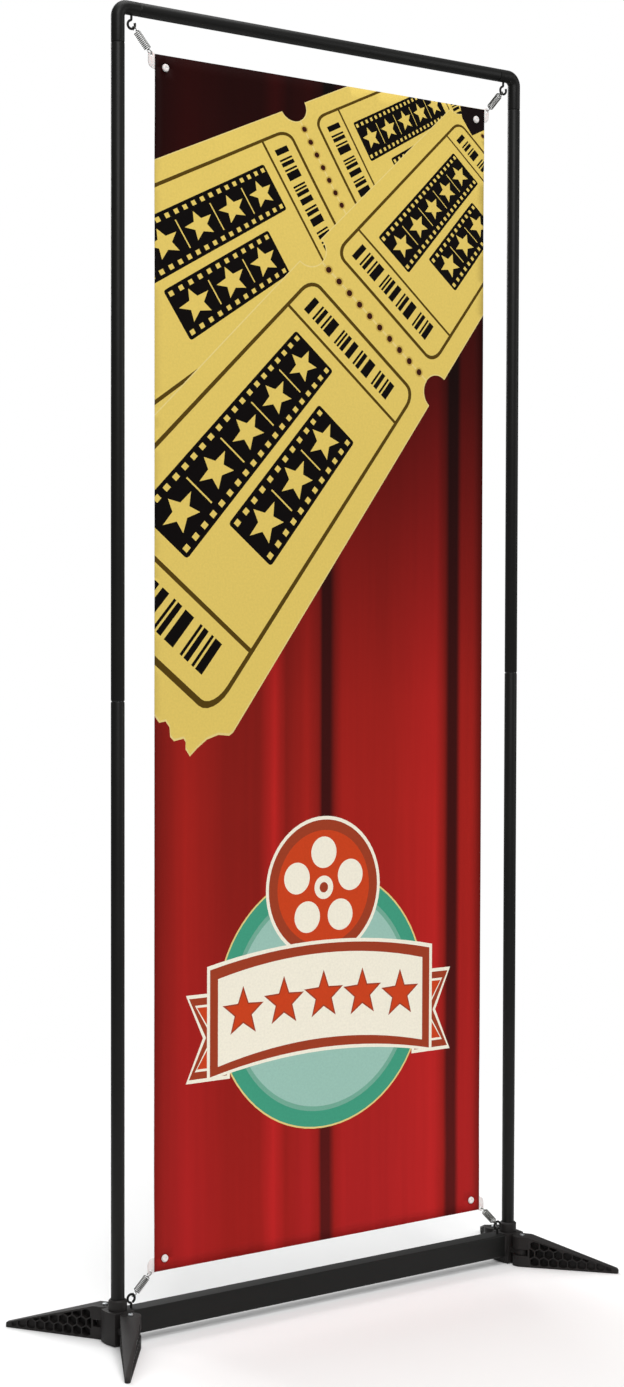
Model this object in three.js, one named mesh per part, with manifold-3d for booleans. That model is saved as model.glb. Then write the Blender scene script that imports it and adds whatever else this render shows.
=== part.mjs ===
// A free-standing tubular banner stand: a take-down steel frame on four swing-out
// feet, with a printed vinyl banner sprung between its corners.
// Millimetres, +Z up, X along the frame, -Y to the front.
// The origin is on the floor, midway between the two posts.

import * as THREE from 'three';
import { mergeVertices } from 'three/addons/utils/BufferGeometryUtils.js';
import Module from 'manifold-3d';

const wasm = await Module();
wasm.setup();

// ---------------------------------------------------------------- sizes

const GAP = 0.3; // clearance between pieces that touch

const FRAME = {
  postSpacing: 838.4, // between the two post axes
  height: 2136.2, // floor to the top bar's centre line
  leftJoint: 1034, // height of the joint between the left post's two tubes
  rightJoint: 1070, // the same on the right, whose lower tube is longer
};
const TUBE = { diameter: 22.2, wall: 1.2, lip: 1, lipLength: 2, facets: 20 };
const CORNER = {
  bendRadius: 16,
  leg: 57, // centre line of the top bar to the joint with the post
  armPastHook: 12.5, // eye hook to the joint with the top bar
  spigot: 40,
  spigotStart: 5, // how far inside the elbow each spigot begins
  bendSteps: 4,
};
const FERRULE = { length: 120, wall: 1.5 };
const RIVET = {
  shank: 3.2,
  head: 6.4,
  headHeight: 1.3,
  tail: 5,
  tailHeight: 1.4,
  bite: 7, // reach of a corner's rivet into the solid spigot
  offset: 28, // from a tube joint to the rivet that holds its inner piece
  facets: 10,
};

const CROSSBAR = { depth: 33, height: 40, wall: 1.5, corner: 3, bottom: 12.4 };
const HUB = {
  halfWidth: 21.4, // post axis to the side face, at its widest
  sideRadius: 73, // bow of the side faces seen from above
  footGap: 0.5, // between its front or back face and a foot's root
  lift: 1, // floor to the underside
  aboveBar: 0.6, // its top over the crossbar's
  socketFloor: 16,
  collarWall: 4.1,
  collarHeight: 18,
  collarChamfer: 2.5,
  spigot: 45, // reach into the crossbar
  spigotCorner: 1.6,
};
const TONGUE = { radius: 13, low: 20, high: 30 };
const PIVOT = 38.4; // post axis to a foot's pivot, front and back

const FOOT = {
  length: 177.3, // pivot to tip
  rootHalfWidth: 17,
  tipHalfWidth: 4.5,
  tipHeight: 8.5,
  tipEase: 3, // the tip's upper edge is set back by this much
  flat: 15, // level stretch of the top, from the pivot
  splay: 34.2, // degrees outward from straight ahead, standing
};
const CELL = { size: 8.8, pitch: 17, web: 3, rail: 3, first: 27, low: 10 };
const SCREW = { shank: 6, head: 9, headHeight: 2.2, socket: 4, socketDepth: 1.3, end: 1.6 };
const NUT = { acrossFlats: 10, height: 5, bottom: 1.7 };
const WASHER = { radius: 9, thickness: 0.8 };
const BAR_SCREW = { fromPost: 50, shank: 4, head: 8, headHeight: 2, length: 16 };

const HOOK = {
  wire: 4,
  ringRadius: 6.8, // to the middle of the wire
  fromCollar: 10.3, // a hub collar's side to the ring's centre
  below: 25.7, // top bar's centre line to the upper ring's centre
  above: 14.9, // crossbar's top to the lower ring's centre
  arc: 300, // degrees of ring, the rest is its opening
  topDepth: 7, // shank inside the corner piece
  bottomDepth: 12, // shank inside the hub's spigot
};

const BANNER = {
  sideGap: 69.95, // post axis to the banner's side edge
  topGap: 65.4, // top bar's centre line to the banner's top edge
  bottomGap: 50.3, // crossbar's top to the banner's bottom edge
  thickness: 0.5,
};
const CLIP = {
  thickness: 1.8,
  stud: 20, // banner corner to the stud, along both edges
  studLobe: 9.5,
  sideLobe: { out: 0.5, in: 12, radius: 11 }, // rounded ear past the banner's side
  eye: { out: 6, in: 2, radius: 5.5, hole: 2.5 }, // where the spring hooks in
};
const STUD = { head: 12.5, headHeight: 3.4, shank: 5, collar: 8, collarHeight: 1.5 };
const SPRING = { radius: 4.85, wire: 1.3, turns: 11, loop: 4.2, spiral: 2, perTurn: 6, sides: 4 };

const tubeInside = TUBE.diameter / 2 - TUBE.wall;
const plugRadius = tubeInside - GAP; // of anything that slides into a tube
const cornerJoint = FRAME.height - CORNER.leg;
const halfSpacing = FRAME.postSpacing / 2;
const crossbarTop = CROSSBAR.bottom + CROSSBAR.height;
const hubTop = crossbarTop + HUB.aboveBar; // and the feet's
const collarRadius = TUBE.diameter / 2 + HUB.collarWall;
const hookFromPost = collarRadius + HOOK.fromCollar;
const cornerArm = hookFromPost + CORNER.armPastHook;
const bannerTop = FRAME.height - BANNER.topGap;
const bannerBottom = crossbarTop + BANNER.bottomGap;
const bannerHalfWidth = halfSpacing - BANNER.sideGap;
const clipBack = BANNER.thickness / 2 + GAP + CLIP.thickness;

// ---------------------------------------------------------------- finishes

const finish = (color, roughness, metalness) =>
  new THREE.MeshStandardMaterial({ color, roughness, metalness });
const FINISHES = {
  powderCoat: finish(0x20201e, 0.45, 0.3),
  nylon: finish(0x262422, 0.6, 0),
  zinc: finish(0xc8ccd0, 0.3, 1),
  springSteel: finish(0xa8a8a4, 0.25, 1),
  aluminium: finish(0x30302e, 0.5, 0.6),
  plainSteel: finish(0x8d9093, 0.4, 1),
  acetal: finish(0xe8e6e0, 0.5, 0),
  clearPlastic: finish(0xe6dedd, 0.3, 0),
  vinyl: finish(0xa81a18, 0.55, 0),
};

// ---------------------------------------------------------------- solids

// A closed three.js geometry as a solid, whichever way round its faces are wound.
function solid(geometry) {
  const bare = new THREE.BufferGeometry();
  bare.setAttribute('position', geometry.getAttribute('position'));
  if (geometry.index) bare.setIndex(geometry.index);
  const merged = mergeVertices(bare, 1e-4);
  const points = merged.getAttribute('position');
  const corners = [0, 1, 2].map(() => new THREE.Vector3());
  const triangles = [];
  let volume = 0;
  for (let i = 0; i < merged.index.count; i += 3) {
    const triangle = [0, 1, 2].map((k) => merged.index.getX(i + k));
    if (new Set(triangle).size < 3) continue;
    triangle.forEach((vertex, k) => corners[k].fromBufferAttribute(points, vertex));
    volume += corners[0].dot(corners[1].clone().cross(corners[2]));
    triangles.push(triangle);
  }
  if (volume < 0) triangles.forEach((triangle) => triangle.reverse());
  return new wasm.Manifold(new wasm.Mesh({
    numProp: 3,
    vertProperties: new Float32Array(points.array),
    triVerts: new Uint32Array(triangles.flat()),
  }));
}

const join = (first, ...others) => others.reduce((sum, other) => sum.add(other), first);
const cut = (first, ...others) => others.reduce((rest, other) => rest.subtract(other), first);

function geometryOf(piece) {
  const mesh = piece.getMesh();
  const geometry = new THREE.BufferGeometry();
  geometry.setAttribute('position', new THREE.BufferAttribute(mesh.vertProperties, 3));
  geometry.setIndex(new THREE.BufferAttribute(mesh.triVerts, 1));
  geometry.computeVertexNormals();
  return geometry;
}

const ALONG_Z = new THREE.Matrix4();
const ALONG_X = new THREE.Matrix4().makeBasis(
  new THREE.Vector3(0, 1, 0), new THREE.Vector3(0, 0, 1), new THREE.Vector3(1, 0, 0));
const ALONG_Y = new THREE.Matrix4().makeBasis(
  new THREE.Vector3(1, 0, 0), new THREE.Vector3(0, 0, 1), new THREE.Vector3(0, -1, 0));

// A drawn outline given a thickness from start to end along one axis.
function slab(shape, axis, start, end, curveSegments = 8) {
  const geometry = new THREE.ExtrudeGeometry(shape, {
    depth: end - start, bevelEnabled: false, curveSegments,
  });
  // the outline's depth runs towards -Y, so it is laid from its far side
  geometry.translate(0, 0, axis === ALONG_Y ? -end : start);
  return solid(geometry.applyMatrix4(axis));
}

function block(low, high) {
  const size = high.map((value, i) => value - low[i]);
  const middle = high.map((value, i) => (value + low[i]) / 2);
  return solid(new THREE.BoxGeometry(...size).translate(...middle));
}

// A round solid about the Z axis; its profile is a list of [radius, height].
function turned(profile, facets) {
  const points = profile.map(([radius, height]) => new THREE.Vector2(radius, height));
  return solid(new THREE.LatheGeometry(points, facets).rotateX(Math.PI / 2));
}

const rod = (radius, low, high, facets) =>
  turned([[0, low], [radius, low], [radius, high], [0, high]], facets);

// Turns a solid built about Z so that its +Z end points along the given axis.
function aimed(piece, axis) {
  const turns = { '+X': [0, 90, 0], '+Y': [-90, 0, 0], '-Y': [90, 0, 0], '-Z': [180, 0, 0] };
  return piece.rotate(turns[axis]);
}

// A route through given points, one section of the piece at each point.
class Route extends THREE.Curve {
  constructor(points) {
    super();
    this.points = points;
  }

  getPoint(share) {
    return this.points[Math.round(share * (this.points.length - 1))].clone();
  }

  getPointAt(share) {
    return this.getPoint(share);
  }

  getTangentAt(share) {
    const last = this.points.length - 1;
    const index = Math.round(share * last);
    const tangent = new THREE.Vector3();
    const step = new THREE.Vector3();
    const here = this.points[index];
    if (index > 0) tangent.add(step.subVectors(here, this.points[index - 1]).normalize());
    if (index < last) tangent.add(step.subVectors(this.points[index + 1], here).normalize());
    return tangent.normalize();
  }
}

// A round wire or tube laid along a list of points.
function drawn(points, radius, sides) {
  const section = new THREE.Shape();
  for (let i = 0; i < sides; i += 1) {
    const angle = (2 * Math.PI * i) / sides;
    const place = [radius * Math.cos(angle), radius * Math.sin(angle)];
    if (i === 0) section.moveTo(...place);
    else section.lineTo(...place);
  }
  section.closePath();
  return solid(new THREE.ExtrudeGeometry(section, {
    steps: points.length - 1, extrudePath: new Route(points), bevelEnabled: false,
  }));
}

function roundedRectangle(halfWidth, halfHeight, corner) {
  const shape = new THREE.Shape();
  const x = halfWidth - corner;
  const y = halfHeight - corner;
  shape.moveTo(halfWidth, -y);
  shape.absarc(x, y, corner, 0, Math.PI / 2);
  shape.absarc(-x, y, corner, Math.PI / 2, Math.PI);
  shape.absarc(-x, -y, corner, Math.PI, 1.5 * Math.PI);
  shape.absarc(x, -y, corner, 1.5 * Math.PI, 2 * Math.PI);
  return shape;
}

function circle(x, y, radius) {
  return new THREE.Path().absarc(x, y, radius, 0, 2 * Math.PI);
}

// The outline that a band stretched round some discs would take; each is { x, y, radius }.
function bandRound(discs, facets) {
  const points = discs.flatMap(({ x, y, radius }) =>
    Array.from({ length: facets }, (_, i) => {
      const angle = (2 * Math.PI * i) / facets;
      return new THREE.Vector2(x + radius * Math.cos(angle), y + radius * Math.sin(angle));
    }));
  points.sort((a, b) => a.x - b.x || a.y - b.y);
  const half = (list) => list.reduce((chain, point) => {
    const turnsRight = () => {
      const [before, last] = chain.slice(-2);
      return last.clone().sub(before).cross(point.clone().sub(before)) <= 1e-6;
    };
    while (chain.length > 1 && turnsRight()) chain.pop();
    chain.push(point);
    return chain;
  }, []).slice(0, -1);
  return new THREE.Shape([...half(points), ...half(points.slice().reverse())]);
}

// ---------------------------------------------------------------- tubes and corners

// A steel tube from low to high, its ends necked in by a small lip.
function tube(low, high) {
  const outside = TUBE.diameter / 2;
  return turned([
    [tubeInside, low],
    [outside - TUBE.lip, low],
    [outside, low + TUBE.lipLength],
    [outside, high - TUBE.lipLength],
    [outside - TUBE.lip, high],
    [tubeInside, high],
    [tubeInside, low],
  ], TUBE.facets);
}

// The hole for a rivet through the back wall of an upright tube.
function rivetHole(height) {
  const hole = rod(RIVET.shank / 2 + GAP, 0, TUBE.diameter, RIVET.facets);
  return aimed(hole, '+Y').translate([0, 0, height]);
}

// A blind rivet about Z: its head sits on the tube, its tail behind the inner wall.
function rivet(grip) {
  const shank = RIVET.shank / 2;
  return turned([
    [0, -grip - RIVET.tailHeight],
    [RIVET.tail / 2, -grip - RIVET.tailHeight / 2],
    [RIVET.tail / 2, -grip],
    [shank, -grip],
    [shank, 0],
    [RIVET.head / 2, 0],
    [RIVET.head / 2 * 0.8, RIVET.headHeight * 0.7],
    [0, RIVET.headHeight],
  ], RIVET.facets);
}

const JOINT_HEIGHTS = { left: FRAME.leftJoint, right: FRAME.rightJoint };
const ferruleBore = plugRadius - FERRULE.wall;
const ferruleBow = ferruleBore - Math.sqrt(ferruleBore ** 2 - (RIVET.tail / 2) ** 2);
const ferruleGrip = TUBE.wall + FERRULE.wall + ferruleBow + 3 * GAP;

function lowerPost(side) {
  const joint = JOINT_HEIGHTS[side];
  return cut(tube(HUB.socketFloor + GAP, joint - GAP / 2), rivetHole(joint - RIVET.offset));
}

const upperPost = (side) => tube(JOINT_HEIGHTS[side] + GAP / 2, cornerJoint - GAP);

function ferrule(side) {
  const joint = JOINT_HEIGHTS[side];
  const low = joint - FERRULE.length / 2;
  const high = joint + FERRULE.length / 2;
  const wall = turned([
    [ferruleBore, low],
    [plugRadius, low],
    [plugRadius, high],
    [ferruleBore, high],
    [ferruleBore, low],
  ], TUBE.facets);
  return cut(wall, rivetHole(joint - RIVET.offset));
}

function ferruleRivet(side) {
  const head = TUBE.diameter / 2 + GAP;
  return aimed(rivet(ferruleGrip), '+Y').translate([0, head, JOINT_HEIGHTS[side] - RIVET.offset]);
}

const barHalfLength = halfSpacing - cornerArm - GAP;
const barRivet = barHalfLength - RIVET.offset; // along X, near each end of the top bar

function topBar() {
  const bar = aimed(tube(-barHalfLength, barHalfLength), '+X').translate([0, 0, FRAME.height]);
  const holes = [-barRivet, barRivet].map((x) => rivetHole(FRAME.height).translate([x, 0, 0]));
  return cut(bar, ...holes);
}

// The corner piece about the crossing of the two centre lines; inward is +1 or -1 in X.
function corner(inward) {
  const bend = CORNER.bendRadius;
  const points = [new THREE.Vector3(0, 0, -CORNER.leg)];
  for (let i = 0; i <= CORNER.bendSteps; i += 1) {
    const angle = (Math.PI / 2) * (i / CORNER.bendSteps);
    const along = bend * (1 - Math.cos(angle));
    points.push(new THREE.Vector3(inward * along, 0, bend * (Math.sin(angle) - 1)));
  }
  points.push(new THREE.Vector3(inward * cornerArm, 0, 0));
  const elbow = drawn(points, TUBE.diameter / 2, TUBE.facets);
  const { leg, spigot, spigotStart } = CORNER;
  const legSpigot = rod(plugRadius, -leg - spigot, spigotStart - leg, TUBE.facets);
  const armSpigot = rod(plugRadius, cornerArm - spigotStart, cornerArm + spigot, TUBE.facets)
    .rotate([0, inward * 90, 0]);
  const hookTop = HOOK.topDepth - TUBE.diameter / 2 + GAP;
  const hookHole = rod(HOOK.wire / 2 + GAP, -TUBE.diameter, hookTop, 8);
  const rivetRadius = RIVET.shank / 2 + GAP;
  const hole = rod(rivetRadius, plugRadius - RIVET.bite, TUBE.diameter, RIVET.facets);
  const rivetPlace = cornerArm + RIVET.offset + GAP;
  return cut(
    join(elbow, legSpigot, armSpigot),
    hookHole.translate([inward * hookFromPost, 0, 0]),
    aimed(hole, '+Y').translate([inward * rivetPlace, 0, 0]),
  );
}

function cornerRivet() {
  const bite = TUBE.wall + GAP + RIVET.bite - 2 * GAP;
  const shank = RIVET.shank / 2;
  return aimed(turned([
    [0, -bite],
    [shank, -bite],
    [shank, 0],
    [RIVET.head / 2, 0],
    [RIVET.head / 2 * 0.8, RIVET.headHeight * 0.7],
    [0, RIVET.headHeight],
  ], RIVET.facets), '+Y').translate([0, TUBE.diameter / 2 + GAP, 0]);
}

// ---------------------------------------------------------------- crossbar and hubs

const crossbarMiddle = CROSSBAR.bottom + CROSSBAR.height / 2;
const crossbarHalfLength = halfSpacing - HUB.halfWidth - GAP;

function crossbar() {
  const { depth, height, wall, corner: round } = CROSSBAR;
  const outline = roundedRectangle(depth / 2, height / 2, round);
  const inside = roundedRectangle(depth / 2 - wall, height / 2 - wall, round - wall);
  outline.holes.push(inside);
  const bar = slab(outline, ALONG_X, -crossbarHalfLength, crossbarHalfLength, 4);
  const holes = [-1, 1].flatMap((side) => {
    const screwX = side * (halfSpacing - BAR_SCREW.fromPost);
    const hookX = side * (halfSpacing - hookFromPost);
    const screwHole = rod(BAR_SCREW.shank / 2 + GAP, -height, -height / 4, 12);
    const hookHole = rod(HOOK.wire / 2 + GAP, height / 4, height, 12);
    return [screwHole.translate([screwX, 0, 0]), hookHole.translate([hookX, 0, 0])];
  });
  return cut(bar, ...holes).translate([0, 0, crossbarMiddle]);
}

// How far a hub's side face stands from the post axis, at a distance along Y.
function hubHalfWidth(y) {
  return HUB.halfWidth - (HUB.sideRadius - Math.sqrt(HUB.sideRadius ** 2 - y ** 2));
}

// A hub about its post axis; inward is the direction of the crossbar, +1 or -1 in X.
function hub(inward) {
  const steps = 6;
  const halfLength = PIVOT - FOOT.rootHalfWidth - HUB.footGap;
  const outline = new THREE.Shape();
  for (const sign of [1, -1]) {
    for (let i = 0; i <= steps; i += 1) {
      const y = sign * halfLength * ((2 * i) / steps - 1);
      const place = [sign * hubHalfWidth(y), y];
      if (sign === 1 && i === 0) outline.moveTo(...place);
      else outline.lineTo(...place);
    }
  }
  outline.closePath();
  const body = slab(outline, ALONG_Z, HUB.lift, hubTop);

  const tongue = new THREE.Shape();
  tongue.moveTo(TONGUE.radius, -PIVOT);
  tongue.absarc(0, PIVOT, TONGUE.radius, 0, Math.PI);
  tongue.absarc(0, -PIVOT, TONGUE.radius, Math.PI, 2 * Math.PI);
  const tongues = slab(tongue, ALONG_Z, TONGUE.low, TONGUE.high, 8);

  const collarTop = hubTop + HUB.collarHeight;
  const collar = turned([
    [0, crossbarMiddle],
    [collarRadius, crossbarMiddle],
    [collarRadius, collarTop - HUB.collarChamfer],
    [collarRadius - HUB.collarChamfer, collarTop],
    [0, collarTop],
  ], TUBE.facets);

  const gripWidth = CROSSBAR.depth / 2 - CROSSBAR.wall - GAP;
  const gripHeight = CROSSBAR.height / 2 - CROSSBAR.wall - GAP;
  const reach = HUB.halfWidth + HUB.spigot;
  const spigot = slab(roundedRectangle(gripWidth, gripHeight, HUB.spigotCorner),
    ALONG_X, Math.min(0, inward * reach), Math.max(0, inward * reach), 2)
    .translate([0, 0, crossbarMiddle]);

  const socket = rod(TUBE.diameter / 2 + GAP, HUB.socketFloor, collarTop + 1, TUBE.facets);
  const pivotHoles = [-PIVOT, PIVOT].map((y) =>
    rod(SCREW.shank / 2 + GAP, TONGUE.low - 1, TONGUE.high + 1, 12).translate([0, y, 0]));
  const hookBottom = crossbarTop - HOOK.bottomDepth - GAP;
  const hookHole = rod(HOOK.wire / 2 + GAP, hookBottom, crossbarTop, 12)
    .translate([inward * hookFromPost, 0, 0]);
  const screwTop = CROSSBAR.bottom + BAR_SCREW.length + GAP;
  const screwHole = rod(BAR_SCREW.shank / 2 + GAP, CROSSBAR.bottom, screwTop, 12)
    .translate([inward * BAR_SCREW.fromPost, 0, 0]);
  return cut(join(body, tongues, collar, spigot), socket, ...pivotHoles, hookHole, screwHole);
}

function crossbarScrew() {
  const shank = BAR_SCREW.shank / 2;
  const under = CROSSBAR.bottom - GAP;
  return turned([
    [0, under - BAR_SCREW.headHeight],
    [BAR_SCREW.head / 2 * 0.75, under - BAR_SCREW.headHeight],
    [BAR_SCREW.head / 2, under - BAR_SCREW.headHeight / 2],
    [BAR_SCREW.head / 2, under],
    [shank, under],
    [shank, CROSSBAR.bottom + BAR_SCREW.length],
    [0, CROSSBAR.bottom + BAR_SCREW.length],
  ], 12);
}

// ---------------------------------------------------------------- feet

const slotLow = TONGUE.low - GAP;
const slotHigh = TONGUE.high + WASHER.thickness + 2 * GAP;
const slotEnd = TONGUE.radius + 1.5; // closed end of the slot, from the pivot

// The height of a foot's sloping top at a distance from the pivot.
function footTop(along) {
  const drop = (along - FOOT.flat) / (FOOT.length - FOOT.flat);
  return hubTop - Math.max(0, drop) * (hubTop - FOOT.tipHeight);
}

// A foot's side outline, drawn in from its edges by a margin, from the given start.
function footSide(start, margin) {
  const end = FOOT.length - margin * 4;
  const shape = new THREE.Shape();
  shape.moveTo(start, margin);
  shape.lineTo(end, margin);
  if (margin === 0) shape.lineTo(end, FOOT.tipHeight * 0.6);
  const ease = margin === 0 ? FOOT.tipEase : 0;
  shape.lineTo(end - ease, footTop(end) - margin);
  if (start < FOOT.flat) shape.lineTo(FOOT.flat, hubTop - margin);
  shape.lineTo(start, footTop(start) - margin);
  shape.closePath();
  return shape;
}

// The honeycomb cells moulded into a foot's side faces, clear of its rails.
function footCells() {
  const wide = FOOT.rootHalfWidth + 5;
  const rowStep = (CELL.pitch * Math.sqrt(3)) / 2;
  const cells = [];
  for (let row = 0; CELL.low + row * rowStep < hubTop; row += 1) {
    const height = CELL.low + row * rowStep;
    const offset = (row % 2) * (CELL.pitch / 2); // every other row starts with a half cell
    for (let along = CELL.first - offset; along < FOOT.length; along += CELL.pitch) {
      if (height - CELL.size / 2 > footTop(along) - CELL.rail) break;
      const hexagon = new THREE.Shape();
      for (let i = 0; i < 6; i += 1) {
        const angle = (Math.PI / 3) * (i + 0.5);
        const place = [along + CELL.size * Math.cos(angle), height + CELL.size * Math.sin(angle)];
        if (i === 0) hexagon.moveTo(...place);
        else hexagon.lineTo(...place);
      }
      hexagon.closePath();
      cells.push(slab(hexagon, ALONG_Y, -wide, wide));
    }
  }
  const inside = slab(footSide(slotEnd + CELL.rail, CELL.rail), ALONG_Y, -wide, wide);
  const web = block([0, -CELL.web / 2, -1], [FOOT.length, CELL.web / 2, hubTop + 1]);
  return cut(join(...cells).intersect(inside), web);
}

// A foot about its pivot, pointing along +X.
function foot() {
  const { rootHalfWidth, tipHalfWidth, length } = FOOT;
  const plan = new THREE.Shape();
  plan.moveTo(0, -rootHalfWidth);
  plan.absarc(0, 0, rootHalfWidth, -Math.PI / 2, Math.PI / 2, true);
  plan.absarc(length - tipHalfWidth, 0, tipHalfWidth, Math.PI / 2, -Math.PI / 2, true);
  const wide = rootHalfWidth + 1;
  const wedge = slab(plan, ALONG_Z, 0, hubTop, 6).intersect(slab(footSide(-wide, 0), ALONG_Y, -wide, wide));
  const slot = block([-wide, -wide, slotLow], [slotEnd, wide, slotHigh]);
  const screwHole = rod(SCREW.shank / 2 + GAP, -1, hubTop + 1, 12);
  const nutTop = NUT.bottom + NUT.height + GAP;
  const pocket = hexRod(NUT.acrossFlats / 2 + GAP, -1, nutTop);
  return cut(wedge, slot, screwHole, pocket, footCells());
}

const hexRod = (flat, low, high) => rod(flat / Math.cos(Math.PI / 6), low, high, 6);

function pivotScrew() {
  const shank = SCREW.shank / 2;
  const seat = hubTop + GAP;
  const screw = turned([
    [0, SCREW.end],
    [shank, SCREW.end],
    [shank, seat],
    [SCREW.head / 2, seat],
    [SCREW.head / 2, seat + SCREW.headHeight * 0.4],
    [SCREW.head / 2 * 0.8, seat + SCREW.headHeight],
    [0, seat + SCREW.headHeight],
  ], 16);
  const top = seat + SCREW.headHeight;
  return cut(screw, hexRod(SCREW.socket / 2, top - SCREW.socketDepth, top + 1));
}

function pivotNut() {
  const low = NUT.bottom;
  const high = NUT.bottom + NUT.height;
  const bore = rod(SCREW.shank / 2 + GAP, low - 1, high + 1, 12);
  return cut(hexRod(NUT.acrossFlats / 2, low, high), bore);
}

function frictionWasher() {
  const low = TONGUE.high + GAP;
  const high = low + WASHER.thickness;
  const bore = SCREW.shank / 2 + GAP;
  const rim = WASHER.radius;
  return turned([[bore, low], [rim, low], [rim, high], [bore, high], [bore, low]], 16);
}

// ---------------------------------------------------------------- hooks, clips and springs

// A screw-in eye hook about its ring's centre, its shank rising by the given length.
function eyeHook(shankLength) {
  const steps = 14;
  const points = [];
  for (let i = 0; i <= steps; i += 1) {
    const angle = Math.PI / 2 + THREE.MathUtils.degToRad(HOOK.arc) * (i / steps);
    points.push(new THREE.Vector3(
      HOOK.ringRadius * Math.cos(angle), 0, HOOK.ringRadius * Math.sin(angle)));
  }
  const shank = rod(HOOK.wire / 2, HOOK.ringRadius - HOOK.wire / 4, shankLength, 8);
  return join(drawn(points, HOOK.wire / 2, 8), shank);
}

// The corners of the banner, from the left's and the top's side: +1 or -1 in X and Z.
const CORNERS = [
  { name: 'top_left', x: -1, z: 1 },
  { name: 'top_right', x: 1, z: 1 },
  { name: 'bottom_left', x: -1, z: -1 },
  { name: 'bottom_right', x: 1, z: -1 },
];

const bannerCorner = ({ x, z }) => ({
  x: x * bannerHalfWidth,
  z: z > 0 ? bannerTop : bannerBottom,
});

// A place near a banner corner, so far out past its side edge and in from its end edge.
function nearCorner(corner, out, inside) {
  const place = bannerCorner(corner);
  return new THREE.Vector3(place.x + corner.x * out, 0, place.z - corner.z * inside);
}

const studPlace = (corner) => nearCorner(corner, -CLIP.stud, CLIP.stud);
const eyePlace = (corner) => nearCorner(corner, CLIP.eye.out, CLIP.eye.in);
const ringPlace = ({ x, z }) => new THREE.Vector3(
  x * (halfSpacing - hookFromPost), 0, z > 0 ? FRAME.height - HOOK.below : crossbarTop + HOOK.above);

function banner() {
  const shape = new THREE.Shape();
  shape.moveTo(-bannerHalfWidth, bannerBottom);
  shape.lineTo(bannerHalfWidth, bannerBottom);
  shape.lineTo(bannerHalfWidth, bannerTop);
  shape.lineTo(-bannerHalfWidth, bannerTop);
  shape.closePath();
  for (const corner of CORNERS) {
    const place = studPlace(corner);
    shape.holes.push(circle(place.x, place.z, STUD.shank / 2 + GAP));
  }
  return slab(shape, ALONG_Y, -BANNER.thickness / 2, BANNER.thickness / 2, 6);
}

// A flat clip: one web around the stud, the ear past the banner's side and the spring's eye.
function clip(corner) {
  const disc = (place, radius) => ({ x: place.x, y: place.z, radius });
  const outline = bandRound([
    disc(studPlace(corner), CLIP.studLobe),
    disc(nearCorner(corner, CLIP.sideLobe.out, CLIP.sideLobe.in), CLIP.sideLobe.radius),
    disc(eyePlace(corner), CLIP.eye.radius),
  ], 24);
  const eye = eyePlace(corner);
  const hole = studPlace(corner);
  outline.holes.push(circle(eye.x, eye.z, CLIP.eye.hole));
  outline.holes.push(circle(hole.x, hole.z, STUD.shank / 2 + GAP));
  return slab(outline, ALONG_Y, clipBack - CLIP.thickness, clipBack, 6);
}

// A push-in stud about Z, its head at +Z: head, shank through banner and clip, snap collar.
function stud() {
  const head = BANNER.thickness / 2 + GAP;
  const radius = STUD.head / 2;
  const shank = STUD.shank / 2;
  const collar = -clipBack - GAP;
  return turned([
    [0, collar - STUD.collarHeight],
    [shank, collar - STUD.collarHeight],
    [STUD.collar / 2, collar],
    [shank, collar],
    [shank, head],
    [radius, head],
    [radius, head + STUD.headHeight * 0.35],
    [radius * 0.8, head + STUD.headHeight * 0.85],
    [radius * 0.45, head + STUD.headHeight],
    [radius * 0.35, head + STUD.headHeight * 0.75],
    [0, head + STUD.headHeight * 0.7],
  ], 12);
}

// An extension spring between a ring and a clip's eye: loop, spiral out, coil, spiral in, loop.
// Both loops lie in the plane of the spring's axis and Y, so that each one passes through
// the ring or the eye, which lie flat in the frame.
function spring(corner) {
  const from = ringPlace(corner);
  const to = eyePlace(corner);
  const axis = new THREE.Vector3().subVectors(to, from).normalize();
  const across = new THREE.Vector3(0, 1, 0);
  const third = new THREE.Vector3().crossVectors(axis, across);
  const place = (along, y, z) => from.clone()
    .addScaledVector(axis, along).addScaledVector(across, y).addScaledVector(third, z);

  const wire = SPRING.wire / 2 + GAP;
  const clipBow = SPRING.loop - Math.sqrt(SPRING.loop ** 2 - clipBack ** 2);
  const firstCentre = HOOK.ringRadius - HOOK.wire / 2 - wire + SPRING.loop;
  const lastCentre = from.distanceTo(to) - CLIP.eye.hole + wire + clipBow - SPRING.loop;
  const coilStart = firstCentre + SPRING.loop + SPRING.spiral;
  const coilEnd = lastCentre - SPRING.loop - SPRING.spiral;
  const loopSteps = 9;
  const points = [];
  const loop = (centre, startDegrees) => {
    for (let i = 0; i <= loopSteps; i += 1) {
      const angle = THREE.MathUtils.degToRad(startDegrees + (300 * i) / loopSteps);
      points.push(place(centre + SPRING.loop * Math.cos(angle), SPRING.loop * Math.sin(angle), 0));
    }
  };
  loop(firstCentre, 60);
  const spiralSteps = SPRING.perTurn / 2;
  const coilSteps = SPRING.turns * SPRING.perTurn;
  for (let i = 1; i < coilSteps + 2 * spiralSteps; i += 1) {
    const fromStart = Math.min(1, i / spiralSteps);
    const fromEnd = Math.min(1, (coilSteps + 2 * spiralSteps - i) / spiralSteps);
    const radius = SPRING.radius * Math.min(fromStart, fromEnd);
    const share = (i - spiralSteps) / coilSteps;
    let along = coilStart + share * (coilEnd - coilStart);
    if (share < 0) along = coilStart - SPRING.spiral * (1 - fromStart);
    if (share > 1) along = coilEnd + SPRING.spiral * (1 - fromEnd);
    const angle = (2 * Math.PI * i) / SPRING.perTurn;
    points.push(place(along, radius * Math.cos(angle), radius * Math.sin(angle)));
  }
  loop(lastCentre, 180);
  return drawn(points, SPRING.wire / 2, SPRING.sides);
}

// ---------------------------------------------------------------- assembly

const stand = new THREE.Group();

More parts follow.
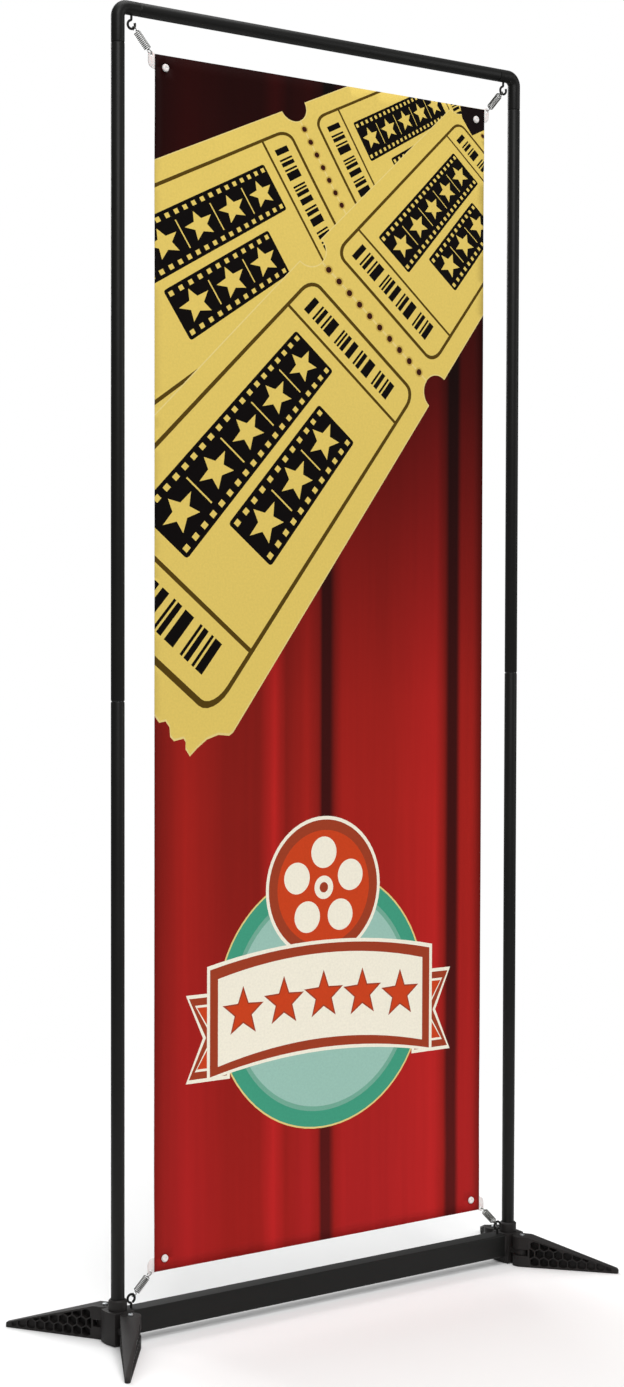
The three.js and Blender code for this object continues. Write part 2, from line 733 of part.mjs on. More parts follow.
function add(name, piece, material, parent = stand) {
  const mesh = new THREE.Mesh(geometryOf(piece), FINISHES[material]);
  mesh.name = name;
  parent.add(mesh);
  return mesh;
}

add('crossbar', crossbar(), 'powderCoat');
add('top_bar', topBar(), 'powderCoat');

for (const [side, sign] of [['left', -1], ['right', 1]]) {
  const upright = new THREE.Group();
  upright.position.x = sign * halfSpacing;
  stand.add(upright);
  add(`hub_${side}`, hub(-sign), 'nylon', upright);
  add(`lower_post_${side}`, lowerPost(side), 'powderCoat', upright);
  add(`upper_post_${side}`, upperPost(side), 'powderCoat', upright);
  add(`post_ferrule_${side}`, ferrule(side), 'plainSteel', upright);
  add(`ferrule_rivet_${side}`, ferruleRivet(side), 'aluminium', upright);
  add(`corner_${side}`, corner(-sign), 'powderCoat', upright).position.z = FRAME.height;
  add(`corner_rivet_${side}`, cornerRivet(), 'aluminium', upright)
    .position.set(sign * (barRivet - halfSpacing), 0, FRAME.height);
  add(`crossbar_screw_${side}`, crossbarScrew(), 'zinc', upright).position.x =
    -sign * BAR_SCREW.fromPost;

  for (const [end, forward] of [['front', -1], ['back', 1]]) {
    const pivot = new THREE.Group();
    pivot.position.y = forward * PIVOT;
    pivot.rotation.z = forward * (Math.PI / 2 - sign * THREE.MathUtils.degToRad(FOOT.splay));
    upright.add(pivot);
    add(`foot_${end}_${side}`, foot(), 'nylon', pivot);
    add(`pivot_screw_${end}_${side}`, pivotScrew(), 'zinc', pivot);
    add(`pivot_nut_${end}_${side}`, pivotNut(), 'zinc', pivot);
    add(`friction_washer_${end}_${side}`, frictionWasher(), 'acetal', pivot);
  }
}

add('banner', banner(), 'vinyl');

const topShank = HOOK.below - TUBE.diameter / 2 + HOOK.topDepth;
const bottomShank = HOOK.above + HOOK.bottomDepth;
for (const place of CORNERS) {
  const shank = place.z > 0 ? topShank : bottomShank;
  const hook = add(`eye_hook_${place.name}`, eyeHook(shank), 'powderCoat');
  hook.position.copy(ringPlace(place));
  hook.rotation.x = place.z > 0 ? 0 : Math.PI;
  add(`banner_clip_${place.name}`, clip(place), 'clearPlastic');
  const button = add(`clip_stud_${place.name}`, aimed(stud(), '-Y'), 'clearPlastic');
  button.position.copy(studPlace(place));
  add(`spring_${place.name}`, spring(place), 'springSteel');
}

export default stand;
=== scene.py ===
# A take-down tubular banner stand: two posts, a top bar and a crossbar on swing-out
# feet, and a printed vinyl banner pulled flat between them by four springs.
# Metres, +Z up, the banner facing -Y.

import math

import bmesh
import bpy
from mathutils import Matrix, Vector
from mathutils.geometry import delaunay_2d_cdt


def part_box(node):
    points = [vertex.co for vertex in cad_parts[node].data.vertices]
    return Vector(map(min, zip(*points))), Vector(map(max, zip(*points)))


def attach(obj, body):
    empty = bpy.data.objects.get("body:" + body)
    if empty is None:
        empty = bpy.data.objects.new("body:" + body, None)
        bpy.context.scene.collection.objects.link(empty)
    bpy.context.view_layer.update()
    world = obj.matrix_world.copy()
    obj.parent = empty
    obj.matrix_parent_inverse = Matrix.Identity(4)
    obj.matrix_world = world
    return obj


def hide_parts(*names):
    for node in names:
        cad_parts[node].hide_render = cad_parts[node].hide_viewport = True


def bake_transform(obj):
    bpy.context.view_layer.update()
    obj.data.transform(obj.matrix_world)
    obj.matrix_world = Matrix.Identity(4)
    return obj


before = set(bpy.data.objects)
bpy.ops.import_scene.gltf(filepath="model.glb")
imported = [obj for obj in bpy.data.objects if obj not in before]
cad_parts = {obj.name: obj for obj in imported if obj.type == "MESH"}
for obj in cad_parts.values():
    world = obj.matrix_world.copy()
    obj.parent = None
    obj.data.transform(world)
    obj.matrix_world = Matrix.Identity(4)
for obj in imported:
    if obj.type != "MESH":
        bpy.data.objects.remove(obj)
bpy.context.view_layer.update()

MM = 0.001
SIDES = (("left", -1), ("right", 1))
ENDS = (("front", -1), ("back", 1))
CORNERS = (("top_left", -1, 1), ("top_right", 1, 1),
           ("bottom_left", -1, -1), ("bottom_right", 1, -1))


# ------------ nodes and colours

def add(tree, kind, inputs=None, **settings):
    """Adds one node with its settings; an input is a number or a socket to link from."""
    node = tree.nodes.new(kind)
    for name, value in settings.items():
        setattr(node, name, value)
    for key, value in (inputs or {}).items():
        if isinstance(value, bpy.types.NodeSocket):
            tree.links.new(value, node.inputs[key])
        else:
            node.inputs[key].default_value = value
    return node


def linear(colour):
    """An sRGB hex colour as linear red, green, blue and alpha."""
    parts = [int(colour[i:i + 2], 16) / 255 for i in (0, 2, 4)]
    return [c / 12.92 if c <= 0.04045 else ((c + 0.055) / 1.055) ** 2.4 for c in parts] + [1.0]


def finished(surface, *sizes):
    """A material named for the function that lays out its surface, by place, in a tree."""
    material = bpy.data.materials.new(surface.__name__)
    material.use_nodes = True
    tree = material.node_tree
    tree.nodes.clear()
    place = add(tree, "ShaderNodeTexCoord").outputs["Object"]
    add(tree, "ShaderNodeOutputMaterial", {"Surface": surface(tree, place, *sizes)})
    return material


def two_tones(tree, place, scale, detail, dark, light):
    """A noise's value, and a colour that wanders with it between two hex colours."""
    noise = add(tree, "ShaderNodeTexNoise", {"Vector": place, "Scale": scale, "Detail": detail})
    colour = add(tree, "ShaderNodeMix", {
        0: noise.outputs["Fac"], 6: linear(dark), 7: linear(light)}, data_type="RGBA")
    return noise.outputs["Fac"], colour.outputs[2]


def set_stops(ramp, stops):
    """Fills a colour ramp with (place from 0 to 1, hex colour) stops."""
    for place, colour in stops[2:]:
        ramp.elements.new(place)
    for element, (place, colour) in zip(ramp.elements, sorted(stops)):
        element.position = place
        element.color = linear(colour)


# ------------ finishes

def satin_black_powder_coat(tree, place):
    # Polyester powder baked on steel tube: near black, a soft satin gloss, and a faint
    # orange peel, whose 1 mm dimples are drawn 5 mm wide so that they show at all.
    peel = add(tree, "ShaderNodeTexNoise", {"Vector": place, "Scale": 200.0, "Detail": 2.0})
    handling, colour = two_tones(tree, place, 9.0, 4.0, "121211", "1b1b1a")
    gloss = add(tree, "ShaderNodeMapRange", {"Value": handling, "To Min": 0.36, "To Max": 0.5})
    bump = add(tree, "ShaderNodeBump", {
        "Height": peel.outputs["Fac"], "Strength": 0.35, "Distance": 0.0001})
    return add(tree, "ShaderNodeBsdfPrincipled", {
        "Base Color": colour, "Roughness": gloss.outputs["Result"],
        "Specular IOR Level": 0.16, "Normal": bump.outputs["Normal"]}).outputs["BSDF"]


def moulded_black_nylon(tree, place):
    # Glass-filled nylon from a spark-eroded mould: brownish black and dull, with a fine
    # grain (0.3 mm, drawn 1.5 mm) and paler rubbed patches where it is handled.
    grain = add(tree, "ShaderNodeTexNoise", {"Vector": place, "Scale": 650.0, "Detail": 3.0})
    _, colour = two_tones(tree, place, 28.0, 5.0, "151312", "221f1e")
    dull = add(tree, "ShaderNodeMapRange", {
        "Value": grain.outputs["Fac"], "To Min": 0.5, "To Max": 0.68})
    bump = add(tree, "ShaderNodeBump", {
        "Height": grain.outputs["Fac"], "Strength": 0.5, "Distance": 0.0002})
    return add(tree, "ShaderNodeBsdfPrincipled", {
        "Base Color": colour, "Roughness": dull.outputs["Result"], "IOR": 1.53,
        "Specular IOR Level": 0.25, "Normal": bump.outputs["Normal"]}).outputs["BSDF"]


def bright_zinc_plate(tree, place):
    # Electroplated zinc on screws and nuts: cold silver with soft mottling a few
    # millimetres across.
    mottle, colour = two_tones(tree, place, 400.0, 4.0, "a9adb0", "d3d6d8")
    gloss = add(tree, "ShaderNodeMapRange", {"Value": mottle, "To Min": 0.22, "To Max": 0.38})
    return add(tree, "ShaderNodeBsdfPrincipled", {
        "Base Color": colour, "Metallic": 1.0,
        "Roughness": gloss.outputs["Result"]}).outputs["BSDF"]


def drawn_spring_wire(tree, place):
    # Cold-drawn spring steel with a bright zinc wash: grey silver, with draw lines so
    # fine that they only break up the highlight.
    lines, colour = two_tones(tree, place, 1500.0, 2.0, "454542", "858580")
    bump = add(tree, "ShaderNodeBump", {
        "Height": lines, "Strength": 0.3, "Distance": 0.00005})
    return add(tree, "ShaderNodeBsdfPrincipled", {
        "Base Color": colour, "Metallic": 1.0, "Roughness": 0.3,
        "Normal": bump.outputs["Normal"]}).outputs["BSDF"]


def black_anodised_aluminium(tree, place):
    # Rivet heads, anodised black: dark grey metal with a satin, slightly cloudy face.
    _, colour = two_tones(tree, place, 700.0, 3.0, "252524", "3a3a38")
    return add(tree, "ShaderNodeBsdfPrincipled", {
        "Base Color": colour, "Metallic": 0.7, "Roughness": 0.45}).outputs["BSDF"]


def rolled_steel(tree, place):
    # Plain welded steel tube, oiled: mid grey with streaks along its length.
    along = add(tree, "ShaderNodeMapping", {"Vector": place, "Scale": (900.0, 900.0, 30.0)})
    _, colour = two_tones(tree, along.outputs["Vector"], 1.0, 2.0, "74777a", "a4a7aa")
    return add(tree, "ShaderNodeBsdfPrincipled", {
        "Base Color": colour, "Metallic": 1.0, "Roughness": 0.42}).outputs["BSDF"]


def white_acetal(tree, place):
    # Stamped acetal washers: waxy off-white, a little mottled.
    _, colour = two_tones(tree, place, 250.0, 2.0, "dedbd2", "efede6")
    return add(tree, "ShaderNodeBsdfPrincipled", {
        "Base Color": colour, "Roughness": 0.5, "IOR": 1.48}).outputs["BSDF"]


def milky_polypropylene(tree, place):
    # Injection-moulded natural polypropylene: milky, with light soaking through its thin
    # edges, a soft gloss and faint flow marks about 4 mm apart.
    flow, colour = two_tones(tree, place, 240.0, 2.0, "d9d2d0", "efeae8")
    gloss = add(tree, "ShaderNodeMapRange", {"Value": flow, "To Min": 0.26, "To Max": 0.4})
    return add(tree, "ShaderNodeBsdfPrincipled", {
        "Base Color": colour, "Roughness": gloss.outputs["Result"], "IOR": 1.49,
        "Subsurface Weight": 0.3, "Subsurface Radius": (0.004, 0.003, 0.003),
        "Subsurface Scale": 0.5}).outputs["BSDF"]


def scrim(tree, place):
    """The banner cloth's woven scrim: pale threads 1 mm apart, drawn 3 mm apart to show."""
    upright = add(tree, "ShaderNodeMapping", {"Vector": place, "Rotation": (math.pi / 2, 0, 0)})
    return add(tree, "ShaderNodeTexBrick", {
        "Vector": upright.outputs["Vector"], "Color1": linear("e9e9e7"),
        "Color2": linear("ededeb"), "Mortar": linear("dededb"), "Scale": 1.0,
        "Mortar Size": 0.0006, "Mortar Smooth": 1.0, "Brick Width": 0.003,
        "Row Height": 0.003}, offset=0.0).outputs


# The printed curtain's folds: how far across the banner each stands, in millimetres, and
# its tone, which is darker and sharper higher up than near the hem.
FOLDS = (
    (0, "side"), (60, "red"), (145, "slope"), (210, "slope"), (240, "crest"), (265, "slope"),
    (310, "red"), (334, "slope"), (341, "valley"), (358, "valley"), (370, "slope"),
    (385, "red"), (480, "red"), (592, "crest"), (613, "slope"), (621, "valley"),
    (640, "valley"), (650, "red"), (675, "red"), (698, "side"))
LOW_TONES = {"crest": "c02323", "red": "b02020", "slope": "a01d19", "side": "901d19",
             "valley": "5a1413"}
HIGH_TONES = {"crest": "bf2421", "red": "a9211b", "slope": "8c1c16", "side": "7a1a14",
              "valley": "400f0e"}
# The light on the curtain, from the hem upwards.
CURTAIN_LIGHT = (
    (0, "ffffff"), (740, "ffffff"), (920, "f2f2f2"), (1100, "cecece"), (1280, "a4a4a4"),
    (1460, "747474"), (1650, "4e4e4e"), (1968, "404040"))


def printed_vinyl(tree, place, width, bottom, length):
    # Solvent ink on matt vinyl banner cloth: deep colour under a soft sheen, with the
    # cloth's scrim just showing through as relief. The ink attribute holds the drawn
    # shapes, with 0 alpha where the curtain shows.
    axes = add(tree, "ShaderNodeSeparateXYZ", {"Vector": place}).outputs
    across = add(tree, "ShaderNodeMapRange", {
        "Value": axes["X"], "From Min": -width / 2, "From Max": width / 2}).outputs["Result"]
    upward = add(tree, "ShaderNodeMapRange", {
        "Value": axes["Z"], "From Min": bottom, "From Max": bottom + length}).outputs["Result"]
    low = add(tree, "ShaderNodeValToRGB", {"Fac": across})
    set_stops(low.color_ramp, [(mm * MM / width, LOW_TONES[tone]) for mm, tone in FOLDS])
    high = add(tree, "ShaderNodeValToRGB", {"Fac": across})
    set_stops(high.color_ramp, [(mm * MM / width, HIGH_TONES[tone]) for mm, tone in FOLDS])
    rise = add(tree, "ShaderNodeMapRange", {
        "Value": upward, "From Min": 0.05, "From Max": 0.36}).outputs["Result"]
    folds = add(tree, "ShaderNodeMix", {
        0: rise, 6: low.outputs["Color"], 7: high.outputs["Color"]}, data_type="RGBA")
    light = add(tree, "ShaderNodeValToRGB", {"Fac": upward})
    set_stops(light.color_ramp, [(mm * MM / length, colour) for mm, colour in CURTAIN_LIGHT])
    lit = add(tree, "ShaderNodeMix", {0: 1.0, 6: folds.outputs[2], 7: light.outputs["Color"]},
              data_type="RGBA", blend_type="MULTIPLY")
    # the curtain's velvet: soft streaks about 12 mm wide and 300 mm long
    nap = add(tree, "ShaderNodeMapping", {"Vector": place, "Scale": (80.0, 1.0, 3.0)})
    _, shade = two_tones(tree, nap.outputs["Vector"], 1.0, 3.0, "e8e8e8", "ffffff")
    curtain = add(tree, "ShaderNodeMix", {0: 1.0, 6: lit.outputs[2], 7: shade},
                  data_type="RGBA", blend_type="MULTIPLY")
    # the drawn shapes, with the grain of uncoated card
    ink = add(tree, "ShaderNodeAttribute", attribute_name="ink")
    _, card = two_tones(tree, place, 260.0, 3.0, "eaeaea", "ffffff")
    drawn = add(tree, "ShaderNodeMix", {0: 1.0, 6: ink.outputs["Color"], 7: card},
                data_type="RGBA", blend_type="MULTIPLY")
    colour = add(tree, "ShaderNodeMix", {
        0: ink.outputs["Alpha"], 6: curtain.outputs[2], 7: drawn.outputs[2]}, data_type="RGBA")
    bump = add(tree, "ShaderNodeBump", {
        "Height": scrim(tree, place)["Fac"], "Strength": 0.15, "Distance": 0.0001})
    return add(tree, "ShaderNodeBsdfPrincipled", {
        "Base Color": colour.outputs[2], "Roughness": 0.6, "Specular IOR Level": 0.06,
        "Normal": bump.outputs["Normal"]}).outputs["BSDF"]


def bare_vinyl_back(tree, place):
    # The unprinted back of the banner cloth: matt white, with the same scrim showing
    # as a faint grid and the cloth a little uneven in tone.
    weave = scrim(tree, place)
    _, cloud = two_tones(tree, place, 6.0, 3.0, "f0f0f0", "ffffff")
    colour = add(tree, "ShaderNodeMix", {0: 1.0, 6: weave["Color"], 7: cloud},
                 data_type="RGBA", blend_type="MULTIPLY")
    bump = add(tree, "ShaderNodeBump", {
        "Height": weave["Fac"], "Strength": 0.2, "Distance": 0.0001})
    return add(tree, "ShaderNodeBsdfPrincipled", {
        "Base Color": colour.outputs[2], "Roughness": 0.6, "Specular IOR Level": 0.3,
        "Normal": bump.outputs["Normal"]}).outputs["BSDF"]


def pale_studio_floor(tree, place):
    # Painted board, almost white and matt, that fades into the studio's white between
    # 0.9 and 2.4 m from the middle.
    board = add(tree, "ShaderNodeBsdfPrincipled", {
        "Base Color": linear("f8f8f8"), "Roughness": 0.9, "Specular IOR Level": 0.1})
    reach = add(tree, "ShaderNodeVectorMath", {0: place}, operation="LENGTH")
    fade = add(tree, "ShaderNodeMapRange", {
        "Value": reach.outputs["Value"], "From Min": 0.9, "From Max": 2.4},
        interpolation_type="SMOOTHSTEP")
    return add(tree, "ShaderNodeMixShader", {
        0: fade.outputs["Result"], 1: board.outputs["BSDF"],
        2: add(tree, "ShaderNodeBsdfTransparent").outputs["BSDF"]}).outputs["Shader"]


# ------------ node trees for shapes

def shape_tree(name, **inputs):
    """An empty tree that makes a mesh from named inputs, each given by its kind."""
    tree = bpy.data.node_groups.new(name, "GeometryNodeTree")
    for label, kind in {**inputs, "Material": "Material"}.items():
        tree.interface.new_socket(label, in_out="INPUT", socket_type="NodeSocket" + kind)
    tree.interface.new_socket("Mesh", in_out="OUTPUT", socket_type="NodeSocketGeometry")
    return tree, add(tree, "NodeGroupInput").outputs


def closed(tree, given, geometry):
    """The tree, once its geometry is made real, painted and handed out."""
    whole = add(tree, "GeometryNodeRealizeInstances", {"Geometry": geometry})
    painted = add(tree, "GeometryNodeSetMaterial", {
        "Geometry": whole.outputs["Geometry"], "Material": given["Material"]})
    add(tree, "NodeGroupOutput", {"Mesh": painted.outputs["Geometry"]})
    return tree


def swept_wire_tree():
    """A round section carried along a path, as thick at each point as its gauge says."""
    tree, given = shape_tree("swept_wire", Path="Geometry", Sides="Int")
    path = add(tree, "GeometryNodeMeshToCurve", {"Mesh": given["Path"]})
    section = add(tree, "GeometryNodeCurvePrimitiveCircle", {
        "Resolution": given["Sides"], "Radius": 1.0})
    gauge = add(tree, "GeometryNodeInputNamedAttribute", {"Name": "gauge"}, data_type="FLOAT")
    wall = add(tree, "GeometryNodeCurveToMesh", {
        "Curve": path.outputs["Curve"], "Profile Curve": section.outputs["Curve"],
        "Scale": gauge.outputs["Attribute"], "Fill Caps": True})
    return closed(tree, given, wall.outputs["Mesh"])


def box_section_tree():
    """A straight bar of rounded rectangular section along X, its middle at Centre."""
    tree, given = shape_tree("box_section", Mesh="Geometry", Length="Float", Depth="Float",
                             Height="Float", Corner="Float", Centre="Vector")
    half = add(tree, "ShaderNodeMath", {0: given["Length"], 1: 0.5}, operation="MULTIPLY")
    minus = add(tree, "ShaderNodeMath", {0: given["Length"], 1: -0.5}, operation="MULTIPLY")
    start = add(tree, "ShaderNodeCombineXYZ", {"X": minus.outputs["Value"]})
    end = add(tree, "ShaderNodeCombineXYZ", {"X": half.outputs["Value"]})
    line = add(tree, "GeometryNodeCurvePrimitiveLine", {
        "Start": start.outputs["Vector"], "End": end.outputs["Vector"]})
    square = add(tree, "GeometryNodeCurvePrimitiveQuadrilateral", {
        "Width": given["Depth"], "Height": given["Height"]})
    rounded = add(tree, "GeometryNodeFilletCurve", {
        "Curve": square.outputs["Curve"], "Radius": given["Corner"], "Count": 7}, mode="POLY")
    bar = add(tree, "GeometryNodeCurveToMesh", {
        "Curve": line.outputs["Curve"], "Profile Curve": rounded.outputs["Curve"],
        "Fill Caps": True})
    moved = add(tree, "GeometryNodeTransform", {
        "Geometry": bar.outputs["Mesh"], "Translation": given["Centre"]})
    return closed(tree, given, moved.outputs["Geometry"])


def set_out_tree():
    """One fastener set out on every point, its +Z turned the way that point faces."""
    tree, given = shape_tree("set_out_fasteners", Points="Geometry", Fastener="Object")
    facing = add(tree, "GeometryNodeInputNamedAttribute", {"Name": "facing"},
                 data_type="FLOAT_VECTOR")
    turn = add(tree, "FunctionNodeAlignRotationToVector", {
        "Vector": facing.outputs["Attribute"]}, axis="Z")
    one = add(tree, "GeometryNodeObjectInfo", {"Object": given["Fastener"]})
    each = add(tree, "GeometryNodeInstanceOnPoints", {
        "Points": given["Points"], "Instance": one.outputs["Geometry"],
        "Rotation": turn.outputs["Rotation"]})
    return closed(tree, given, each.outputs["Instances"])


def grown(tree, start, **given):
    """The plain mesh that a node tree makes from a start mesh and its named inputs."""
    carrier = bpy.data.objects.new("carrier", start)
    bpy.context.collection.objects.link(carrier)
    modifier = carrier.modifiers.new("shape", "NODES")
    modifier.node_group = tree
    for socket in tree.interface.items_tree:
        if socket.in_out == "INPUT" and socket.name in given:
            modifier[socket.identifier] = given[socket.name]
    return settled(carrier)


def settled(carrier):
    """An object's evaluated shape as a plain mesh; the object itself is thrown away."""
    depsgraph = bpy.context.evaluated_depsgraph_get()
    mesh = bpy.data.meshes.new_from_object(carrier.evaluated_get(depsgraph))
    carrier.modifiers.clear()
    bpy.data.objects.remove(carrier)
    return mesh


def smooth(mesh, angle=35):
    """Shades a mesh smooth, apart from its edges sharper than an angle in degrees."""
    mesh.polygons.foreach_set("use_smooth", [True] * len(mesh.polygons))
    mesh.set_sharp_from_angle(angle=math.radians(angle))
    return mesh


def piece(name, mesh, body, nodes):
    """A finished piece on its body, in place of the CAD nodes that it stands for."""
    obj = bpy.data.objects.new(name, mesh)
    mesh.name = name
    bpy.context.collection.objects.link(obj)
    if body:
        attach(obj, body)
    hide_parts(*nodes)
    return obj


def path(points, gauge):
    """A path for the swept wire: its points, and its radius as one number or one a point."""
    mesh = bpy.data.meshes.new("path")
    mesh.from_pydata(points, [(i, i + 1) for i in range(len(points) - 1)], [])
    radii = gauge if isinstance(gauge, list) else [gauge] * len(points)
    mesh.attributes.new("gauge", "FLOAT", "POINT").data.foreach_set("value", radii)
    return mesh


def turned(profile, facets=48):
    """A closed turned solid about Z, in metres, from a profile in millimetres.

    Each entry is (radius, height), or (half across flats, height, "hex") for a ring that
    is a hexagon. The profile starts and ends on the axis, or else it closes on itself.
    """
    shape = bmesh.new()
    rings = []
    for radius, height, *form in profile:
        if radius == 0:
            rings.append([shape.verts.new((0, 0, height * MM))])
            continue
        ring = []
        for i in range(facets):
            angle = 2 * math.pi * i / facets
            reach = radius
            if form:
                off_flat = (angle + math.pi / 6) % (math.pi / 3) - math.pi / 6
                reach = radius / math.cos(off_flat)
            ring.append(shape.verts.new((
                reach * math.cos(angle) * MM, reach * math.sin(angle) * MM, height * MM)))
        rings.append(ring)
    closing = [] if len(rings[0]) == 1 else [(rings[-1], rings[0])]
    for lower, upper in list(zip(rings, rings[1:])) + closing:
        for i in range(facets):
            j = (i + 1) % facets
            corners = [lower[i % len(lower)], lower[j % len(lower)],
                       upper[j % len(upper)], upper[i % len(upper)]]
            shape.faces.new(list(dict.fromkeys(corners)))
    bmesh.ops.recalc_face_normals(shape, faces=shape.faces)
    mesh = bpy.data.meshes.new("turned")
    shape.to_mesh(mesh)
    shape.free()
    return smooth(mesh)


FLAT, CREASE = 1, 32  # degrees between faces that are merged, and at an edge that is eased


def eased_copy(node, edge, material, segments=2):
    """A CAD node's copy, its triangles merged into flat faces and its outer edges eased."""
    shape = bmesh.new()
    shape.from_mesh(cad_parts[node].data)
    bmesh.ops.remove_doubles(shape, verts=shape.verts, dist=0.005 * MM)
    bmesh.ops.dissolve_limit(shape, angle_limit=math.radians(FLAT), verts=shape.verts,
                             edges=shape.edges)
    weight = shape.edges.layers.float.new("bevel_weight_edge")
    for line in shape.edges:
        if line.calc_face_angle_signed(0) > math.radians(CREASE):
            line[weight] = 1.0
    mesh = bpy.data.meshes.new(node)
    shape.to_mesh(mesh)
    shape.free()
    carrier = bpy.data.objects.new("carrier", mesh)
    bpy.context.collection.objects.link(carrier)
    bevel = carrier.modifiers.new("ease", "BEVEL")
    bevel.width = edge * MM
    bevel.segments = segments
    bevel.limit_method = "WEIGHT"
    bevel.miter_outer = "MITER_ARC"
    eased = settled(carrier)
    eased.materials.clear()
    eased.materials.append(material)
    return smooth(eased)


# ------------ sizes taken from the frame

def middle(node):
    low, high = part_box(node)
    return (low + high) / 2


post_x = middle("lower_post_right").x
bar_z = middle("top_bar").z
crossbar_low, crossbar_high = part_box("crossbar")
banner_low, banner_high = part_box("banner")
banner_width = banner_high.x - banner_low.x
banner_length = banner_high.z - banner_low.z
clip_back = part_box("banner_clip_top_left")[1].y

coat = finished(satin_black_powder_coat)
nylon = finished(moulded_black_nylon)
zinc = finished(bright_zinc_plate)
spring_wire = finished(drawn_spring_wire)
anodised = finished(black_anodised_aluminium)
steel = finished(rolled_steel)
acetal = finished(white_acetal)
milky = finished(milky_polypropylene)
vinyl = finished(printed_vinyl, banner_width, banner_low.z, banner_length)
vinyl_back = finished(bare_vinyl_back)

swept_wire = swept_wire_tree()
box_section = box_section_tree()
set_out = set_out_tree()

# ------------ tubes

TUBE_RADIUS = 11.1 * MM
TUBE_SIDES = 40
LIP = 1.0 * MM  # how far a tube's cut end is necked in, and over what length
LIP_LENGTH = 2.0 * MM
LIP_HALF_WAY = 0.3  # the share of the lip that is gone half-way along it


def tube_along(low, high):
    """A straight tube's path, necked in at both ends, where it meets the next tube."""
    along = (high - low).normalized()
    points = [low, low + along * LIP_LENGTH / 2, low + along * LIP_LENGTH,
              high - along * LIP_LENGTH, high - along * LIP_LENGTH / 2, high]
    inner, half = TUBE_RADIUS - LIP, TUBE_RADIUS - LIP * LIP_HALF_WAY
    return path(points, [inner, half, TUBE_RADIUS, TUBE_RADIUS, half, inner])


def tube_piece(name, mesh):
    smoothed = smooth(grown(swept_wire, mesh, Sides=TUBE_SIDES, Material=coat), 50)
    return piece(name + "_tube", smoothed, "frame", [name])


for side, sign in SIDES:
    for part in ("lower_post_", "upper_post_"):
        low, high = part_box(part + side)
        x = sign * post_x
        tube_piece(part + side, tube_along(Vector((x, 0, low.z)), Vector((x, 0, high.z))))
low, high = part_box("top_bar")
tube_piece("top_bar", tube_along(Vector((low.x, 0, bar_z)), Vector((high.x, 0, bar_z))))

BEND = 16 * MM  # centre-line radius of a corner's bend
LEG = 57 * MM  # from the centre of the top bar down to the joint with the post
BEND_STEPS = 14
ARM_GAP = 0.3 * MM  # between a corner's arm and the top bar's end
for side, sign in SIDES:
    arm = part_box("top_bar")[1].x + ARM_GAP
    foot_of_leg = Vector((sign * post_x, 0, bar_z - LEG))
    points = [foot_of_leg, foot_of_leg + Vector((0, 0, LIP_LENGTH))]
    for i in range(BEND_STEPS + 1):
        angle = math.pi / 2 * i / BEND_STEPS
        points.append(Vector((sign * (post_x - BEND * (1 - math.cos(angle))), 0,
                              bar_z + BEND * (math.sin(angle) - 1))))
    points += [Vector((sign * (arm + LIP_LENGTH), 0, bar_z)), Vector((sign * arm, 0, bar_z))]
    radii = [TUBE_RADIUS] * len(points)
    radii[0] = radii[-1] = TUBE_RADIUS - LIP * LIP_HALF_WAY
    tube_piece("corner_" + side, path(points, radii))

CROSSBAR_CORNER = 3.0 * MM
bar = grown(
    box_section, bpy.data.meshes.new("start"), Length=crossbar_high.x - crossbar_low.x,
    Depth=crossbar_high.y - crossbar_low.y, Height=crossbar_high.z - crossbar_low.z,
    Corner=CROSSBAR_CORNER, Centre=middle("crossbar"), Material=coat)
piece("crossbar_box_section", smooth(bar, 30), "frame", ["crossbar"])

# ------------ eye hooks

WIRE = (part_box("eye_hook_top_left")[1].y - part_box("eye_hook_top_left")[0].y) / 2
RING = 6.8 * MM  # to the middle of the wire
RING_TURN = {1: 300, -1: 338}  # degrees of ring at the top and at the bottom
RING_STEPS = 36
NECK = 4  # degrees of ring taken up by the bend from the shank
hook_x = middle("eye_hook_top_right").x


def ring_centre(name, x_sign, z_sign):
    low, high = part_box("eye_hook_" + name)
    edge = low.z + RING + WIRE if z_sign > 0 else high.z - RING - WIRE
    return Vector((x_sign * hook_x, 0, edge))


for name, x_sign, z_sign in CORNERS:
    node = "eye_hook_" + name
    low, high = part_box(node)
    centre = ring_centre(name, x_sign, z_sign)
    shank = (high.z - centre.z) if z_sign > 0 else (centre.z - low.z)
    points = [Vector((0, 0, shank)), Vector((0, 0, RING + 4 * MM)),
              Vector((0, 0, RING + 2 * MM)), Vector((-0.4 * MM, 0, RING + 0.7 * MM))]
    for i in range(1, RING_STEPS + 1):
        angle = math.radians(90 + NECK + (RING_TURN[z_sign] - NECK) * i / RING_STEPS)
        points.append(Vector((RING * math.cos(angle), 0, RING * math.sin(angle))))
    flip = -1 if z_sign < 0 else 1
    points = [Vector((p.x, 0, p.z * flip)) + centre for p in points]
    mesh = smooth(grown(swept_wire, path(points, WIRE), Sides=14, Material=coat), 50)
    piece(node + "_wire", mesh, "frame", [node])

# ------------ clips and springs

EYE = {"out": 6.0, "inside": 2.0, "hole": 2.5}  # the clip's eye, from the banner's corner
STUD_IN = 20.0  # the stud, from both of the banner's edges
# a spring's coil and end loops to the middle of its wire, the length over which the coil
# widens from each loop, and the loops' clearance in what they hook into
SPRING = {"radius": 5.35, "wire": 1.5, "turns": 11, "loop": 4.2, "spiral": 2.0, "gap": 0.3}
TURN_STEPS = 20
LOOP_STEPS = 22
LOOP_TURN = 300  # degrees of each end loop


def from_corner(x_sign, z_sign, out, inside):
    """A place near a banner corner, out past its side and in from its end, in mm."""
    x = x_sign * (banner_width / 2 + out * MM)
    z = banner_high.z - inside * MM if z_sign > 0 else banner_low.z + inside * MM
    return Vector((x, 0, z))


